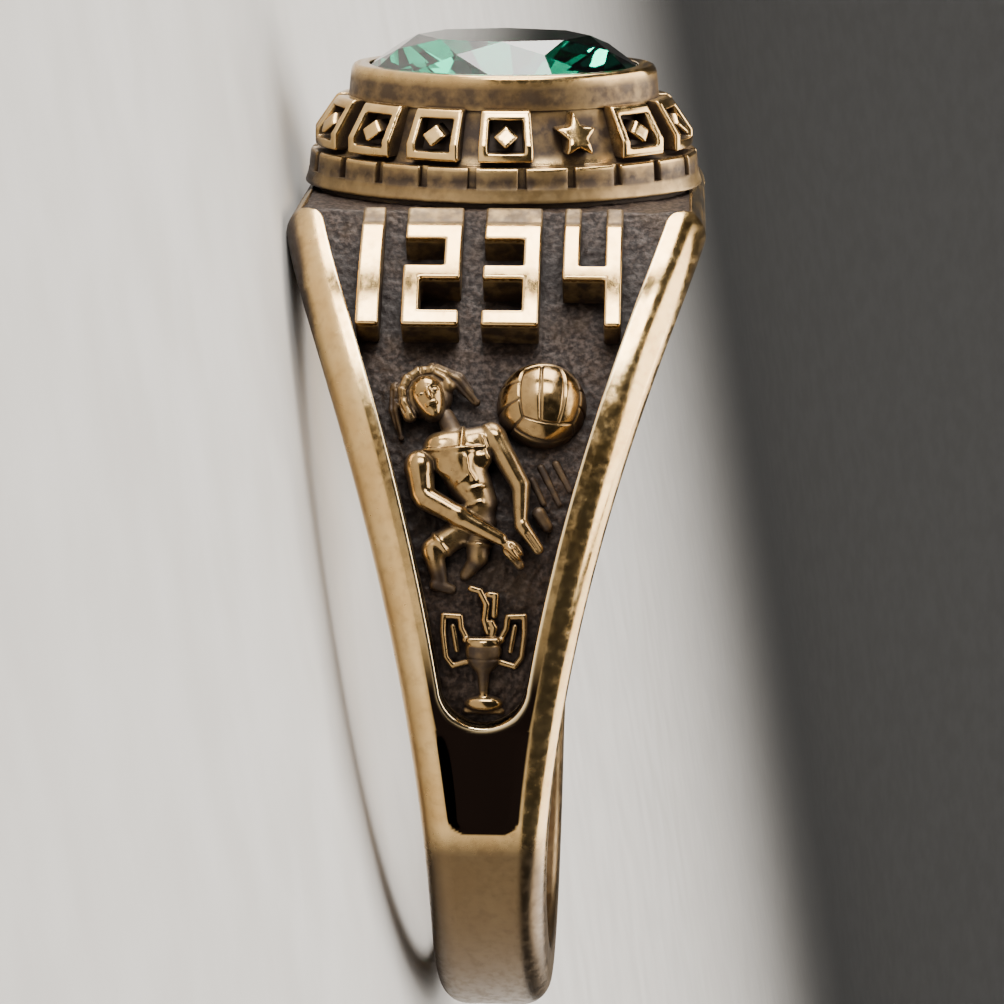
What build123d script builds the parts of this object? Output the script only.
from build123d import *
import os
from math import atan2, cos, degrees, pi, radians, sin, sqrt

# Class ring: one cast metal body with a raised head, and a faceted oval stone.
# Millimetres. The ring is drawn upright about the centre of its finger hole:
# X along the finger, -Y out of the decorated side panel, Z up through the stone.
# At the end it is laid on its side, as it rests on a table.

# Shank and shoulders, seen along the finger hole
FINGER_R = 8.65
SHANK_R = 10.456
SHANK_LIFT = 0.356
SIDE_R = 13.30
SIDE_END = 40.0
SHOULDER_R = 7.06
SHOULDER_END = 70.0

# Shank and shoulders, seen from the panel: half width at the bottom and the arcs above it
SHANK_HALF = 1.39
FLARE_START = -6.0
FLARE_R = 37.4
FLARE_END = 25.2
SHOULDER_ROUND_R = 2.6
SHOULDER_PAST = 20.0
EDGE_ROUND = 0.7

# Recessed side panels: the floor is the outer profile, inset and slid down, then rises to the head's foot
FLOOR_INSET = 0.5
FLOOR_SLIDE = 0.7
RECESS_END_R = 1.03
RECESS_END_Z = 0.75
RECESS_TURN = 9.0
RECESS_R = 39.4
RECESS_TOP_TURN = 24.5
RECESS_FLARE_R = 0.30
RECESS_FLARE_TURN = 80.0
CHANNEL_HALF = 4.88
CHANNEL_DEPTH = 0.14
CHANNEL_Y = 4.20
FLOOR_LIFT_Y = 6.49
FLOOR_LIFT_Z = 8.42

# Plain raised shield on the far panel
SHIELD_MARGIN = 0.75
SHIELD_TOP = 8.9
SHIELD_INSET = 0.25

# Polished flat below the near panel
FLAT_HALF = 0.98
FLAT_TOP_Z = -0.35
FLAT_BOTTOM_Z = -3.04
FLAT_CORNER_R = 0.45

# Head: four-arc ovals on the same centres, so a level is known by its half length
OVAL_DIFFERENCE = 1.0
END_CENTRE = 1.95
FOOT_HALF = 4.80
FOOT_DEPTH = 1.6
HEAD_LEVELS = (
    # height above the shoulders, half length
    (0.00, 4.95),
    (0.28, 4.86),
    (0.82, 4.80),
)
GROUND_LEVELS = (
    (0.78, 4.38),
    (2.18, 3.74),
)
BEZEL_LEVELS = (
    (2.10, 3.86),
    (2.76, 3.80),
    (2.92, 3.64),
)
ORNAMENT_LEVELS = (
    (0.70, 4.72),
    (1.33, 4.72),
    (2.28, 4.06),
)

# Blocks round the head's foot
BLOCKS = 22
BLOCK_GAP = 0.20
BLOCK_GAP_DEPTH = 0.16
BLOCK_GAP_FOOT = 0.32

# Raised ornament round the head: framed lozenges, and two stars
CELLS = 14
STAR_CELLS = (1, 8)
CELL_START = 0.20
CELL_HALF_LENGTH = 4.40
CELL_WIDTH = 1.34
CELL_DEEP = 1.2
POCKET_WIDTH = 0.88
POCKET_HEIGHT = 0.66
POCKET_DEPTH = 0.22
LOZENGE_WIDTH = 0.58
LOZENGE_HEIGHT = 0.42
STAR_R = 0.55
STAR_INNER = 0.45

# Stone: an oval brilliant held under the bezel's lip
STONE_HALF_LENGTH = 3.50
STONE_HALF_WIDTH = 2.50
GIRDLE_HEIGHT = 2.76
GIRDLE_THICK = 0.08
STONE_CROWN = 0.86
TABLE_RATIO = 0.61
STAR_RATIO = 0.80
PAVILION_DEPTH = 1.90
LOWER_RATIO = 0.22
SEAT_GAP = 0.03
CAVITY_FLOOR = 0.60
CAVITY_RATIO = 0.58
SEAT_FOOT = 2.50
SEAT_FOOT_RATIO = 0.94
LIP_RATIO = 0.945
LIGHT_HOLE_LENGTH = 3.0
LIGHT_HOLE_WIDTH = 1.8

# Numerals: arc lengths up the panel, how far their tops run on, and each one's left and right edge
NUMERAL_LOW = 9.04
NUMERAL_HIGH = 12.07
NUMERAL_PAST = 0.9
STROKE = 0.38
NUMERALS = (
    # figure, left, right
    ("1", -3.16, -2.62),
    ("2", -2.09, -0.74),
    ("3", -0.21, 1.14),
    ("4", 1.67, 3.07),
)
STROKES = {
    # which of the seven strokes each figure has
    "1": ("whole",),
    "2": ("top", "upper right", "middle", "lower left", "bottom"),
    "3": ("top", "upper right", "middle", "lower right", "bottom"),
    "4": ("upper left", "upper right", "middle", "lower right"),
}

# Player: limbs from one place on the panel to another
PLAYER = (
    # x, up the panel, depth, radius, then the same at the other end
    ("upper chest", -1.05, 6.02, 0.78, 0.50, -0.04, 6.26, 0.80, 0.45),
    ("torso", -0.62, 5.76, 0.80, 0.60, -0.18, 4.70, 0.82, 0.46),
    ("neck", -0.98, 6.82, 0.72, 0.22, -0.74, 6.32, 0.66, 0.25),
    ("ponytail", -1.15, 7.96, 0.68, 0.24, -0.34, 7.34, 0.76, 0.15),
    ("hair lock", -2.18, 7.52, 0.74, 0.21, -2.02, 6.46, 0.80, 0.13),
    ("left upper arm", -1.50, 5.52, 0.58, 0.34, -1.40, 4.90, 0.48, 0.30),
    ("left forearm", -1.30, 4.80, 0.45, 0.28, 0.46, 3.82, 0.42, 0.18),
    ("right upper arm", 0.14, 6.40, 0.62, 0.29, 0.84, 5.10, 0.50, 0.22),
    ("right forearm", 0.86, 5.02, 0.50, 0.20, 0.84, 4.16, 0.44, 0.17),
    ("hands", 0.58, 3.70, 0.42, 0.22, 1.14, 3.72, 0.42, 0.21),
    ("left thigh", -0.30, 4.18, 0.82, 0.41, -1.14, 3.60, 0.66, 0.34),
    ("left shin", -1.20, 3.48, 0.66, 0.28, -1.02, 2.74, 0.68, 0.20),
    ("right thigh", -0.10, 4.22, 0.84, 0.37, -0.12, 3.44, 0.70, 0.28),
    ("wrist guard", 1.26, 4.46, 0.58, 0.17, 1.44, 4.18, 0.60, 0.15),
)
HEAD_X = -1.40
HEAD_UP = 7.34
HEAD_DEPTH = 0.60
FACE_R = 0.46
HAIR_X = -1.52
HAIR_UP = 7.50
HAIR_DEPTH = 0.78
HAIR_R = 0.63

# Ball and the lines of its flight
BALL_X = 1.25
BALL_UP = 7.30
BALL_DEPTH = 1.00
BALL_R = 1.05
FLIGHT_LINES = (
    # x, up the panel, then the same at the other end
    (1.26, 5.61, 1.70, 4.73),
    (1.61, 5.72, 1.95, 5.10),
)
FLIGHT_R = 0.10

# Trophy: radius at each height up the panel, and its square handles
TROPHY_DEPTH = 0.52
TROPHY = (
    # up the panel, radius
    (-0.42, 0.48),
    (-0.20, 0.48),
    (-0.12, 0.26),
    (0.12, 0.12),
    (0.36, 0.12),
    (0.62, 0.34),
    (1.00, 0.44),
    (1.42, 0.47),
    (1.52, 0.38),
    (1.80, 0.12),
    (1.90, 0.00),
)
HANDLE_BAR = 0.15
HANDLE_X = 0.88
HANDLE_LOW = 0.89
HANDLE_HIGH = 2.09
HANDLE_INNER = 0.50
FLAMES = (
    # x, up the panel, radius, then the same at the other end
    (0.05, 1.58, 0.16, 0.22, 2.48, 0.10),
    (-0.02, 1.63, 0.15, -0.17, 2.72, 0.09),
)


def profile_centres():
    """Centres of the side arc and the shoulder arc in the YZ plane, on the -Y side."""
    side = (SIDE_R - SHANK_R, SHANK_LIFT)
    reach = SIDE_R - SHOULDER_R
    turn = radians(SIDE_END)
    shoulder = (side[0] - reach * cos(turn), side[1] + reach * sin(turn))
    return side, shoulder


def shoulder_top():
    """Height of the flat that the head stands on."""
    return profile_centres()[1][1] + SHOULDER_R * sin(radians(SHOULDER_END))


def profile_point(up, depth):
    """Y, Z and the normal's elevation, an arc length up the panel and a depth inside its outer profile."""
    side, shoulder = profile_centres()
    side_length = SIDE_R * radians(SIDE_END)
    if up < 0:
        centre, radius, turn = (0.0, SHANK_LIFT), SHANK_R, up / SHANK_R
    elif up < side_length:
        centre, radius, turn = side, SIDE_R, up / SIDE_R
    else:
        centre, radius = shoulder, SHOULDER_R
        turn = radians(SIDE_END) + (up - side_length) / SHOULDER_R
    reach = radius - depth
    return centre[0] - reach * cos(turn), centre[1] + reach * sin(turn), turn


def on_panel(x, up, depth):
    """A place on the panel of the upright ring."""
    y, z, turn = profile_point(up, depth)
    return Vector(x, y, z)


def panel_plane(x, up, depth):
    """A plane on the panel: its X across the ring, its Y up the panel, its Z outwards."""
    y, z, turn = profile_point(up, depth)
    return Plane(origin=(x, y, z), x_dir=(1, 0, 0), z_dir=(0, -cos(turn), sin(turn)))


def filled(half):
    """A closed shape from its right half and the mirror image of that half."""
    return make_face(Curve() + half + mirror(Curve() + half, about=Plane.YZ))


def side_silhouette(inset):
    """The ring's outline seen along the finger hole, inset, without the hole."""
    side, shoulder = profile_centres()
    lid_y = (SHOULDER_R - inset) * cos(radians(SHOULDER_END)) - shoulder[0]
    lid_z = shoulder[1] + (SHOULDER_R - inset) * sin(radians(SHOULDER_END))
    half = [
        CenterArc((0, SHANK_LIFT), SHANK_R - inset, 270, 90),
        CenterArc((-side[0], SHANK_LIFT), SIDE_R - inset, 0, SIDE_END),
        CenterArc((-shoulder[0], shoulder[1]), SHOULDER_R - inset, SIDE_END, SHOULDER_END - SIDE_END),
        Line((lid_y, lid_z), (0, lid_z)),
    ]
    return Plane.YZ * filled(half)


def flared_edge(start, radius, start_turn, end_turn):
    """An arc that leans outwards more and more as it rises, and its end point."""
    centre = (start[0] + radius * cos(radians(start_turn)), start[1] - radius * sin(radians(start_turn)))
    end = (centre[0] - radius * cos(radians(end_turn)), centre[1] + radius * sin(radians(end_turn)))
    return CenterArc(centre, radius, 180 - start_turn, start_turn - end_turn), end


def front_outline():
    """The ring's outline seen from the panel side."""
    bottom = SHANK_LIFT - SHANK_R - 1
    flare, flare_top = flared_edge((SHANK_HALF, FLARE_START), FLARE_R, 0, FLARE_END)
    turn = radians(FLARE_END)
    round_centre = (
        flare_top[0] - SHOULDER_ROUND_R * cos(turn),
        flare_top[1] + SHOULDER_ROUND_R * sin(turn),
    )
    past = radians(SHOULDER_PAST)
    end = (round_centre[0] + SHOULDER_ROUND_R * cos(past), round_centre[1] + SHOULDER_ROUND_R * sin(past))
    half = [
        Line((0, bottom), (SHANK_HALF, bottom)),
        Line((SHANK_HALF, bottom), (SHANK_HALF, FLARE_START)),
        flare,
        CenterArc(round_centre, SHOULDER_ROUND_R, -FLARE_END, FLARE_END + SHOULDER_PAST),
        Line(end, (0, end[1])),
    ]
    return Plane.XZ * filled(half)


def recess_outline():
    """The side panel's outline seen from the panel side: a round end, flared sides and an open top."""
    side_start = (
        RECESS_END_R * cos(radians(RECESS_TURN)),
        RECESS_END_Z - RECESS_END_R * sin(radians(RECESS_TURN)),
    )
    side, side_top = flared_edge(side_start, RECESS_R, RECESS_TURN, RECESS_TOP_TURN)
    flare, flare_top = flared_edge(side_top, RECESS_FLARE_R, RECESS_TOP_TURN, RECESS_FLARE_TURN)
    lid = shoulder_top() + 1
    rise = (CHANNEL_HALF - flare_top[0]) * cos(radians(RECESS_FLARE_TURN)) / sin(radians(RECESS_FLARE_TURN))
    corner = (CHANNEL_HALF, flare_top[1] + rise)
    half = [
        CenterArc((0, RECESS_END_Z), RECESS_END_R, -90, 90 - RECESS_TURN),
        side,
        flare,
        Line(flare_top, corner),
        Line(corner, (CHANNEL_HALF, lid)),
        Line((CHANNEL_HALF, lid), (0, lid)),
    ]
    return filled(half)


def oval(half_length, height):
    """A four-arc oval at a height above the shoulders."""
    half_width = half_length - OVAL_DIFFERENCE
    end_r = half_length - END_CENTRE
    side_r = (END_CENTRE**2 + half_width**2 - end_r**2) / (2 * (half_width - end_r))
    side_centre = half_width - side_r
    lean = degrees(atan2(-side_centre, END_CENTRE))
    outline = Curve() + [
        CenterArc((END_CENTRE, 0), end_r, -lean, 2 * lean),
        CenterArc((0, side_centre), side_r, lean, 180 - 2 * lean),
        CenterArc((-END_CENTRE, 0), end_r, 180 - lean, 2 * lean),
        CenterArc((0, -side_centre), side_r, 180 + lean, 180 - 2 * lean),
    ]
    return Plane.XY.offset(shoulder_top() + height) * make_face(outline)


def oval_stack(levels):
    """A solid whose outline is an oval at each level, straight between them."""
    return loft([oval(half_length, height) for height, half_length in levels], ruled=True)


def oval_point(half_length, length):
    """A place on the oval, a length round it from its -Y point, and the outward direction there."""
    half_width = half_length - OVAL_DIFFERENCE
    end_r = half_length - END_CENTRE
    side_r = (END_CENTRE**2 + half_width**2 - end_r**2) / (2 * (half_width - end_r))
    lean = atan2(side_r - half_width, END_CENTRE)
    quarter = side_r * (pi / 2 - lean) + end_r * lean
    around = (length + 2 * quarter) % (4 * quarter) - 2 * quarter
    side = 1 if around >= 0 else -1
    around = abs(around)
    flip = around > quarter
    if flip:
        around = 2 * quarter - around
    if around < side_r * (pi / 2 - lean):
        turn = around / side_r
        x = side_r * sin(turn)
        y = side_r - half_width - side_r * cos(turn)
    else:
        turn = pi / 2 - lean + (around - side_r * (pi / 2 - lean)) / end_r
        x = END_CENTRE + end_r * sin(turn)
        y = -end_r * cos(turn)
    out = (side * sin(turn), cos(turn) if flip else -cos(turn))
    return side * x, -y if flip else y, out


def oval_length(half_length):
    """The length once round an oval."""
    half_width = half_length - OVAL_DIFFERENCE
    end_r = half_length - END_CENTRE
    side_r = (END_CENTRE**2 + half_width**2 - end_r**2) / (2 * (half_width - end_r))
    lean = atan2(side_r - half_width, END_CENTRE)
    return 4 * (side_r * (pi / 2 - lean) + end_r * lean)


def blank():
    """Shank and shoulders as a smooth blank: the two outlines crossed, with rounded outer edges."""
    across = extrude(side_silhouette(0), 2 * SHANK_R, both=True)
    along = extrude(front_outline(), 2 * SHANK_R, both=True)
    solid = across & along
    rim = []
    for edge in solid.edges():
        low, high = sorted((edge.position_at(0), edge.position_at(1)), key=lambda place: place.Z)
        crosses = low.Y * high.Y < 0 and abs(high.Z - low.Z) < 0.01
        beside = abs(edge.center().X) > SHANK_HALF / 2
        on_lid = low.Z > shoulder_top() - 0.01
        under = edge.geom_type == GeomType.CIRCLE
        if beside and (under or on_lid or not crosses):
            rim.append(edge)
    return fillet(rim, EDGE_ROUND)


def panel_floor():
    """Everything below the panel floors, with slopes that lift the floors to the head's foot."""
    floor = extrude(side_silhouette(FLOOR_INSET), 2 * SHANK_R, both=True)
    floor = floor.moved(Location((0, 0, -FLOOR_SLIDE)))
    high = shoulder_top() - CHANNEL_DEPTH
    slope = Plane.YZ * make_face(
        Polyline(
            (-FLOOR_LIFT_Y, FLOOR_LIFT_Z),
            (FLOOR_LIFT_Y, FLOOR_LIFT_Z),
            (CHANNEL_Y, high),
            (-CHANNEL_Y, high),
            close=True,
        )
    )
    return floor + extrude(slope, 2 * SHANK_R, both=True)


def numeral(figure, left, right):
    """One numeral on the panel's plane, standing right through its wall, its top run on to the head."""
    middle = (NUMERAL_LOW + NUMERAL_HIGH) / 2
    half = (NUMERAL_HIGH - NUMERAL_LOW) / 2
    top = half + NUMERAL_PAST
    bars = {
        # stroke: left, right, low, high
        "whole": (left, right, -half, top),
        "top": (left, right, half - STROKE, top),
        "middle": (left, right, -STROKE / 2, STROKE / 2),
        "bottom": (left, right, -half, STROKE - half),
        "upper left": (left, left + STROKE, -STROKE / 2, top),
        "upper right": (right - STROKE, right, -STROKE / 2, top),
        "lower left": (left, left + STROKE, -half, STROKE / 2),
        "lower right": (right - STROKE, right, -half, STROKE / 2),
    }
    shape = Sketch()
    for stroke in STROKES[figure]:
        x0, x1, y0, y1 = bars[stroke]
        shape += Pos((x0 + x1) / 2, (y0 + y1) / 2) * Rectangle(x1 - x0, y1 - y0)
    return extrude(panel_plane(0, middle, 1) * shape, 2, both=True)


def near_recess():
    """What is cut from the near side: the panel down to its floor, but not the numerals."""
    prism = extrude(Plane.XZ * recess_outline(), 2 * SHANK_R)
    cut = prism - panel_floor()
    for figure, left, right in NUMERALS:
        cut -= numeral(figure, left, right)
    return cut


def far_recess():
    """What is cut from the far side: the same panel, with a plain raised shield."""
    prism = extrude(Plane.XZ * recess_outline(), -2 * SHANK_R)
    shield = offset(recess_outline(), -SHIELD_MARGIN)
    shield &= Pos(0, SHIELD_TOP / 2) * Rectangle(4 * SHANK_HALF, SHIELD_TOP)
    shield = extrude(Plane.XZ * shield, -2 * SHANK_R)
    shield &= extrude(side_silhouette(SHIELD_INSET), SHANK_R, both=True)
    return prism - panel_floor() - shield


def flat_cut():
    """What a file takes off below the near panel to leave a flat with rounded lower corners."""
    top = profile_at_height(FLAT_TOP_Z)
    bottom = profile_at_height(FLAT_BOTTOM_Z)
    length = sqrt((top[0] - bottom[0]) ** 2 + (top[1] - bottom[1]) ** 2)
    up = ((top[0] - bottom[0]) / length, (top[1] - bottom[1]) / length)
    plane = Plane(
        origin=(0, (top[0] + bottom[0]) / 2, (top[1] + bottom[1]) / 2),
        x_dir=(1, 0, 0),
        z_dir=(0, -up[1], up[0]),
    )
    shape = RectangleRounded(2 * FLAT_HALF, length, FLAT_CORNER_R)
    return extrude(plane * shape, 1)


def profile_at_height(z):
    """Y and Z of the shank's outer arc at a height, on the -Y side."""
    return -sqrt(SHANK_R**2 - (z - SHANK_LIFT) ** 2), z


def limb(start, start_r, end, end_r):
    """A round limb with ball ends."""
    length = (end - start).length
    half = Curve() + [
        CenterArc((0, 0), start_r, -90, 90),
        Line((start_r, 0), (end_r, length)),
        CenterArc((0, length), end_r, 0, 90),
        Line((0, length + end_r), (0, -start_r)),
    ]
    round_limb = revolve(Plane.XZ * make_face(half), Axis.Z)
    return Plane(origin=start, z_dir=end - start).location * round_limb


def player():
    """The ball player: head, hair, torso, arms and legs, half sunk in the panel's floor."""
    forms = []
    for name, x0, up0, depth0, r0, x1, up1, depth1, r1 in PLAYER:
        forms.append(limb(on_panel(x0, up0, depth0), r0, on_panel(x1, up1, depth1), r1))
    forms.append(Pos(on_panel(HEAD_X, HEAD_UP, HEAD_DEPTH)) * Sphere(FACE_R))
    forms.append(Pos(on_panel(HAIR_X, HAIR_UP, HAIR_DEPTH)) * Sphere(HAIR_R))
    return forms


def ball():
    """The ball, half sunk in the floor, and the lines of its flight."""
    forms = [Pos(on_panel(BALL_X, BALL_UP, BALL_DEPTH)) * Sphere(BALL_R)]
    for x0, up0, x1, up1 in FLIGHT_LINES:
        start = on_panel(x0, up0, floor_depth(up0))
        end = on_panel(x1, up1, floor_depth(up1))
        forms.append(limb(start, FLIGHT_R, end, FLIGHT_R))
    return forms


def floor_depth(up):
    """How far the panel's floor lies inside the outer profile."""
    return FLOOR_INSET + FLOOR_SLIDE * sin(profile_point(up, 0)[2])


def trophy():
    """The cup: a turned form half sunk in the floor, two square handles and a flame."""
    middle = TROPHY[5][0]
    plane = panel_plane(0, middle, TROPHY_DEPTH)
    points = [(0, TROPHY[0][0] - middle)]
    for up, radius in TROPHY:
        points.append((radius, up - middle))
    turned = revolve(make_face(Polyline(*points, close=True)), Axis.Y)
    forms = [plane.location * turned]
    length = HANDLE_HIGH - HANDLE_LOW
    reach = HANDLE_X - HANDLE_INNER
    for side in (-1, 1):
        post = Box(HANDLE_BAR, length, 4 * HANDLE_BAR)
        bar = Box(reach, HANDLE_BAR, 4 * HANDLE_BAR)
        upright = panel_plane(side * HANDLE_X, (HANDLE_HIGH + HANDLE_LOW) / 2, TROPHY_DEPTH)
        forms.append(upright.location * post)
        for up in (HANDLE_LOW, HANDLE_HIGH):
            across = panel_plane(side * (HANDLE_X - reach / 2), up, TROPHY_DEPTH)
            forms.append(across.location * bar)
    for x0, up0, r0, x1, up1, r1 in FLAMES:
        forms.append(limb(on_panel(x0, up0, TROPHY_DEPTH), r0, on_panel(x1, up1, TROPHY_DEPTH), r1))
    return forms


def block_row(foot):
    """The row of blocks: gaps cut round the head's foot."""
    half_length = HEAD_LEVELS[2][1]
    around = oval_length(half_length)
    height = HEAD_LEVELS[2][0] - BLOCK_GAP_FOOT
    for i in range(BLOCKS):
        x, y, out = oval_point(half_length, (i + 0.5) * around / BLOCKS)
        z = shoulder_top() + BLOCK_GAP_FOOT + height
        place = Plane(origin=(x, y, z), x_dir=(out[0], out[1], 0), z_dir=(0, 0, 1))
        foot -= place.location * Box(2 * BLOCK_GAP_DEPTH, BLOCK_GAP, 2 * height)
    return foot


def cell_plane(length):
    """A plane on the ornament's sloping face: its X round the head, its Z outwards."""
    low, high = ORNAMENT_LEVELS[1], ORNAMENT_LEVELS[2]
    x, y, out = oval_point((low[1] + high[1]) / 2, length)
    rise = high[0] - low[0]
    inwards = low[1] - high[1]
    z = shoulder_top() + (low[0] + high[0]) / 2
    normal = Vector(out[0] * rise, out[1] * rise, inwards).normalized()
    return Plane(origin=(x, y, z), x_dir=(-out[1], out[0], 0), z_dir=normal)


def lozenge():
    """A lozenge that stands in a frame."""
    points = [
        (LOZENGE_WIDTH / 2, 0),
        (0, LOZENGE_HEIGHT / 2),
        (-LOZENGE_WIDTH / 2, 0),
        (0, -LOZENGE_HEIGHT / 2),
    ]
    return make_face(Polyline(*points, close=True))


def star():
    """A five-pointed star."""
    points = []
    for i in range(10):
        radius = STAR_R if i % 2 == 0 else STAR_R * STAR_INNER
        turn = pi / 2 + i * pi / 5
        points.append((radius * cos(turn), radius * sin(turn)))
    return make_face(Polyline(*points, close=True))


def ornament():
    """The raised ornament round the head: framed lozenges, with a star at each of two places."""
    band = oval_stack(ORNAMENT_LEVELS)
    around = oval_length(CELL_HALF_LENGTH)
    face_around = oval_length((ORNAMENT_LEVELS[1][1] + ORNAMENT_LEVELS[2][1]) / 2)
    cells = []
    for i in range(CELLS):
        length = (CELL_START + i * around / CELLS) * face_around / around
        plane = cell_plane(length)
        if i in STAR_CELLS:
            cells.append(band & extrude(plane * star(), CELL_DEEP / 2, both=True))
            continue
        x, y, out = oval_point(CELL_HALF_LENGTH, length * around / face_around)
        place = Plane(origin=(x, y, shoulder_top() + 1.5), x_dir=(out[0], out[1], 0), z_dir=(0, 0, 1))
        frame = band & (place.location * Box(CELL_DEEP, CELL_WIDTH, 4))
        opening = Rectangle(POCKET_WIDTH, POCKET_HEIGHT) - lozenge()
        pocket = extrude(plane * opening, 2 * POCKET_DEPTH, both=True)
        pocket = pocket.moved(Location(plane.z_dir * POCKET_DEPTH))
        cells.append(frame - pocket)
    return cells


def head():
    """The head: foot, block row, ornament and bezel, all one casting with the shoulders."""
    post = oval_stack(((-FOOT_DEPTH, FOOT_HALF), (0.05, FOOT_HALF)))
    foot = block_row(oval_stack(HEAD_LEVELS))
    ground = oval_stack(GROUND_LEVELS)
    bezel = oval_stack(BEZEL_LEVELS)
    solid = post + foot + ground + bezel
    for cell in ornament():
        solid += cell
    return solid


def seat():
    """What is cut out of the head for the stone: lip, girdle seat, cavity and light hole."""
    levels = (
        # height, share of the stone's half length and half width
        (CAVITY_FLOOR, CAVITY_RATIO),
        (SEAT_FOOT, SEAT_FOOT_RATIO),
        (GIRDLE_HEIGHT - GIRDLE_THICK - SEAT_GAP, 1.0),
        (GIRDLE_HEIGHT + SEAT_GAP, 1.0),
        (BEZEL_LEVELS[2][0] + 0.01, LIP_RATIO),
    )
    rings = []
    for height, ratio in levels:
        ellipse = Ellipse(STONE_HALF_LENGTH * ratio + SEAT_GAP, STONE_HALF_WIDTH * ratio + SEAT_GAP)
        rings.append(Plane.XY.offset(shoulder_top() + height) * ellipse)
    hole = extrude(SlotOverall(LIGHT_HOLE_LENGTH, LIGHT_HOLE_WIDTH), shoulder_top() + CAVITY_FLOOR + 0.1)
    return loft(rings, ruled=True) + hole


def ring_body():
    """The whole casting, upright."""
    solid = blank() - near_recess() - far_recess() - flat_cut()
    solid += head()
    for form in player() + ball() + trophy():
        solid += form
    bore = Rot(0, 90, 0) * Cylinder(FINGER_R, 4 * SHANK_R)
    return solid - bore - seat()


def stone():
    """The stone: an oval brilliant, eightfold, from flat facets."""
    crown_z = shoulder_top() + GIRDLE_HEIGHT
    under_z = crown_z - GIRDLE_THICK
    half = pi / 8

    def place(radius, turn, z):
        return (STONE_HALF_LENGTH * radius * cos(turn), STONE_HALF_WIDTH * radius * sin(turn), z)

    def crown_at(ratio):
        return STONE_CROWN * (1 - ratio * cos(half)) / (1 - TABLE_RATIO)

    def pavilion_at(ratio):
        return PAVILION_DEPTH * (1 - ratio * cos(half))

    facets = []
    table = [place(TABLE_RATIO, i * pi / 4, crown_z + STONE_CROWN) for i in range(8)]
    facets.append(table)
    culet = (0, 0, under_z - PAVILION_DEPTH)
    for i in range(8):
        turn = i * pi / 4
        left, right = turn - half, turn + half
        tip = place(1, turn, crown_z)
        low_tip = place(1, turn, under_z)
        mid = place(1, right, crown_z)
        low_mid = place(1, right, under_z)
        next_tip = place(1, turn + 2 * half, crown_z)
        next_low = place(1, turn + 2 * half, under_z)
        star_left = place(STAR_RATIO, left, crown_z + crown_at(STAR_RATIO))
        star_right = place(STAR_RATIO, right, crown_z + crown_at(STAR_RATIO))
        lower_left = place(LOWER_RATIO, left, under_z - pavilion_at(LOWER_RATIO))
        lower_right = place(LOWER_RATIO, right, under_z - pavilion_at(LOWER_RATIO))
        facets.append([tip, star_right, table[i], star_left])
        facets.append([table[i], star_right, table[(i + 1) % 8]])
        facets.append([tip, mid, star_right])
        facets.append([mid, next_tip, star_right])
        facets.append([tip, low_tip, low_mid, mid])
        facets.append([mid, low_mid, next_low, next_tip])
        facets.append([low_tip, lower_right, low_mid])
        facets.append([low_mid, lower_right, next_low])
        facets.append([low_tip, lower_left, culet, lower_right])
    faces = [Face(Wire(Polyline(*points, close=True).edges())) for points in facets]
    return Solid(Shell(faces))


def lie_down(shapes):
    """Turn the ring onto its side, so its shoulder and the bottom of its shank touch the table."""
    half_width = shapes[0].bounding_box().max.X
    lean = degrees(atan2(half_width - SHANK_HALF, shoulder_top() + SHANK_R - SHANK_LIFT))
    turned = [Rot(0, lean - 90, 0) * shape for shape in shapes]
    boxes = [shape.bounding_box() for shape in turned]
    low = [min(tuple(box.min)[i] for box in boxes) for i in range(3)]
    high = [max(tuple(box.max)[i] for box in boxes) for i in range(3)]
    return [Pos(-(low[0] + high[0]) / 2, -(low[1] + high[1]) / 2, -low[2]) * shape for shape in turned]


def main():
    """Build the pieces, lay them down and write them."""
    os.makedirs("parts", exist_ok=True)
    names = ("ring_body", "stone")
    for name, shape in zip(names, lie_down([ring_body(), stone()])):
        export_step(shape, f"parts/{name}.step")


if __name__ == "__main__":
    main()
